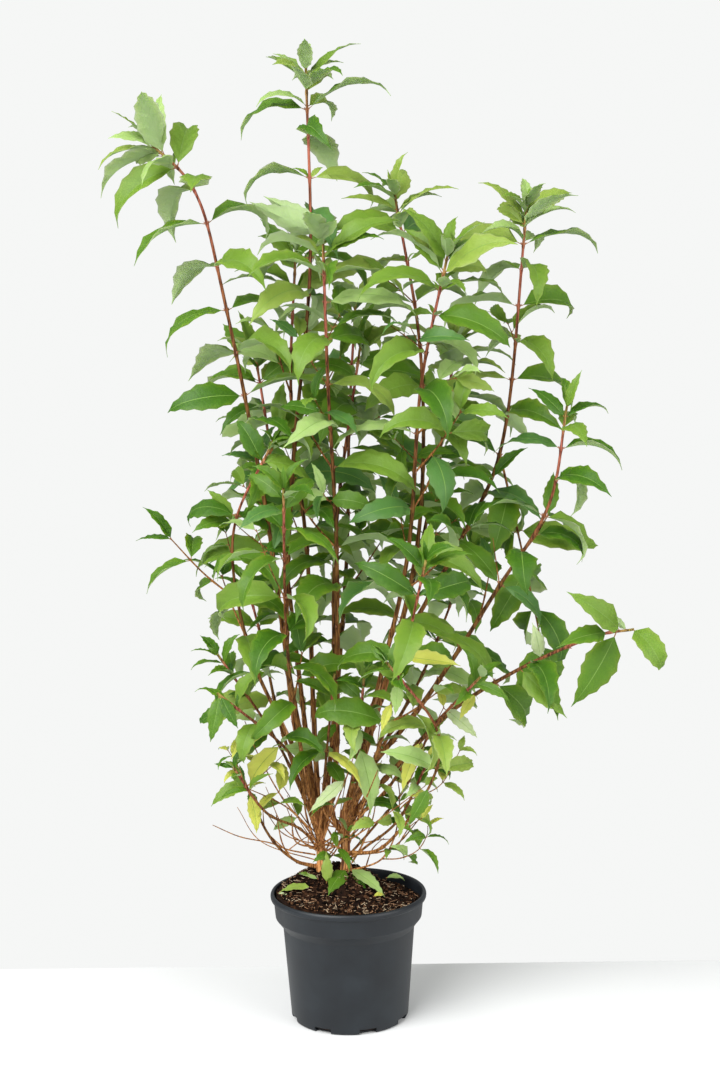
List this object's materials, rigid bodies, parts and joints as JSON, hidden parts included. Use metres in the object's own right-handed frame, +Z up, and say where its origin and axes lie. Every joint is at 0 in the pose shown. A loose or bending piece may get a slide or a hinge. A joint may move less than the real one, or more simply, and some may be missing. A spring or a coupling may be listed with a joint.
{
  "type": "potted deutzia shrub",
  "caption": "A leafy, many-stemmed deciduous shrub with upright and arching canes, rising from woody stools in a round plastic nursery pot filled with soil.",
  "frame": {"origin": "centre of the pot's flat underside, where it stands", "axes": "+Z up along the plant's height, +X to the right and +Y to the back as the plant is seen from the front"},
  "size_m": [0.6426, 0.4725, 1.1681],
  "materials": {
    "pot": "satin moulded polypropylene, dark grey",
    "soil": "moist peat with fibres, matt",
    "bark": "thin reddish-brown bark that peels in strips",
    "foliage": "matt, finely hairy green leaves on reddish stems"
  },
  "bodies": {
    "root": {"cane_back_left": "bark", "cane_back_low": "bark", "cane_back_middle": "bark", "cane_back_right": "bark", "cane_centre": "bark", "cane_centre_low": "bark", "cane_front_left": "bark", "cane_front_right": "bark", "cane_front_thin": "bark", "cane_left_arch": "bark", "cane_left_fan": "bark", "cane_left_low": "bark", "cane_left_middle": "bark", "cane_left_spray": "bark", "cane_left_thin": "bark", "cane_low_left": "bark", "cane_low_left_front": "bark", "cane_low_right": "bark", "cane_low_right_back": "bark", "cane_middle_front": "bark", "cane_middle_low": "bark", "cane_right_arch": "bark", "cane_right_front": "bark", "cane_right_low": "bark", "cane_right_spray": "bark", "cane_right_tall": "bark", "cane_right_upright": "bark", "cane_tallest": "bark", "pot": "pot", "shoot_back_left": "foliage", "shoot_back_low": "foliage", "shoot_back_middle": "foliage", "shoot_back_right": "foliage", "shoot_centre": "foliage", "shoot_centre_low": "foliage", "shoot_front_left": "foliage", "shoot_front_right": "foliage", "shoot_front_thin": "foliage", "shoot_left_arch": "foliage", "shoot_left_fan": "foliage", "shoot_left_low": "foliage", "shoot_left_middle": "foliage", "shoot_left_spray": "foliage", "shoot_left_thin": "foliage", "shoot_low_left": "foliage", "shoot_low_left_front": "foliage", "shoot_low_right": "foliage", "shoot_low_right_back": "foliage", "shoot_middle_front": "foliage", "shoot_middle_low": "foliage", "shoot_right_arch": "foliage", "shoot_right_front": "foliage", "shoot_right_low": "foliage", "shoot_right_spray": "foliage", "shoot_right_tall": "foliage", "shoot_right_upright": "foliage", "shoot_tallest": "foliage", "soil": "soil", "stool_left": "bark", "stool_right": "bark"}
  },
  "joints": []
}
